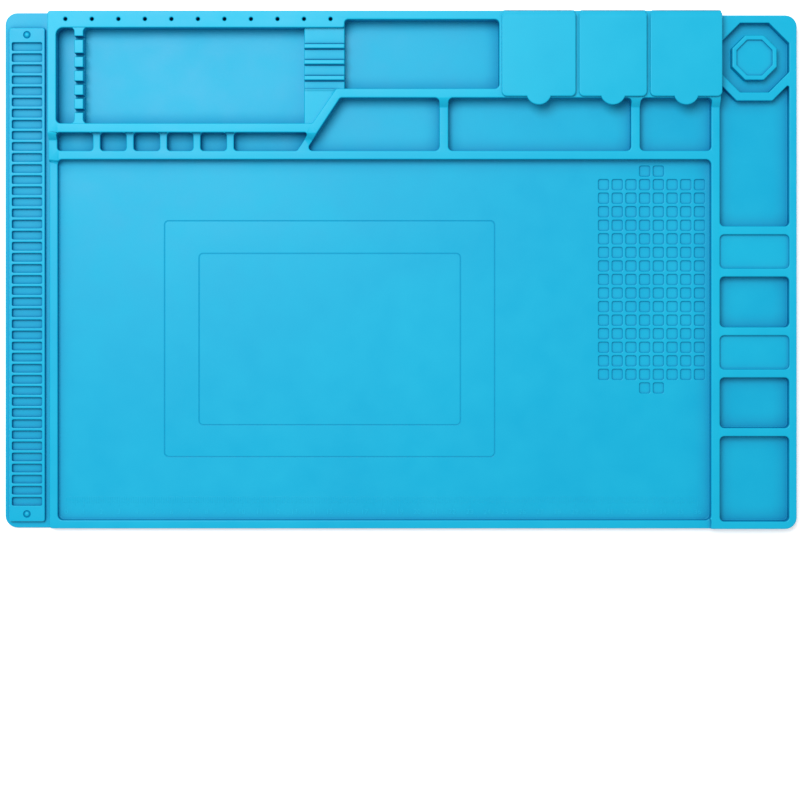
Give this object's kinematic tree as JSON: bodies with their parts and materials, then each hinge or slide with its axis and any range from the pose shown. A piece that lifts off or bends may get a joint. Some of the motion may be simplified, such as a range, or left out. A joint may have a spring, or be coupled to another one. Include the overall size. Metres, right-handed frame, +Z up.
{
  "type": "parts sorting tray",
  "caption": "Flat silicone bench mat with moulded sorting trays, a slotted rail, magnetic trays, a screw grid and hinged lids over small compartments.",
  "frame": {"origin": "centre of the underside, on the surface that the mat lies on", "axes": "+X along the mat from the slotted rail to the side trays, +Y from the worker's edge to the tool trays at the rear, +Z up"},
  "size_m": [0.45, 0.2934, 0.0143],
  "materials": {
    "silicone": "satin sky-blue moulded silicone",
    "lid_silicone": "satin sky-blue moulded silicone, slightly lighter where thin",
    "ferrite": "plain dark grey magnet"
  },
  "bodies": {
    "mat": {"slot_rail": "silicone", "bit_rail": "silicone", "big_tool_tray": "silicone", "blade_comb": "silicone", "ridged_rest": "silicone", "small_tool_tray": "silicone", "slim_pockets": "silicone", "parts_tray_1": "silicone", "parts_tray_2": "silicone", "parts_tray_3": "silicone", "work_surface": "silicone", "screw_grid": "silicone", "octagon_tray": "silicone", "octagon_post": "silicone", "long_tray": "silicone", "compartment_1": "silicone", "compartment_2": "silicone", "compartment_3": "silicone", "hinge_web_1": "lid_silicone", "hinge_web_2": "lid_silicone", "hinge_web_3": "lid_silicone", "magnet_tray_1": "silicone", "magnet_tray_2": "silicone", "side_tray_1": "silicone", "side_tray_2": "silicone", "side_tray_3": "silicone", "magnet_1": "ferrite", "magnet_2": "ferrite"},
    "left_lid": {"lid_1": "lid_silicone"},
    "middle_lid": {"lid_2": "lid_silicone"},
    "right_lid": {"lid_3": "lid_silicone"}
  },
  "joints": [
    {"name": "left_lid_hinge", "type": "hinge", "parent": "mat", "child": "left_lid", "pos_m": [0.07827, 0.1462, 0.0132], "axis": [-1, 0, 0], "range_deg": [0, 190]},
    {"name": "middle_lid_hinge", "type": "hinge", "parent": "mat", "child": "middle_lid", "pos_m": [0.1201, 0.1462, 0.0132], "axis": [-1, 0, 0], "range_deg": [0, 190]},
    {"name": "right_lid_hinge", "type": "hinge", "parent": "mat", "child": "right_lid", "pos_m": [0.16137, 0.1462, 0.0132], "axis": [-1, 0, 0], "range_deg": [0, 190]}
  ]
}
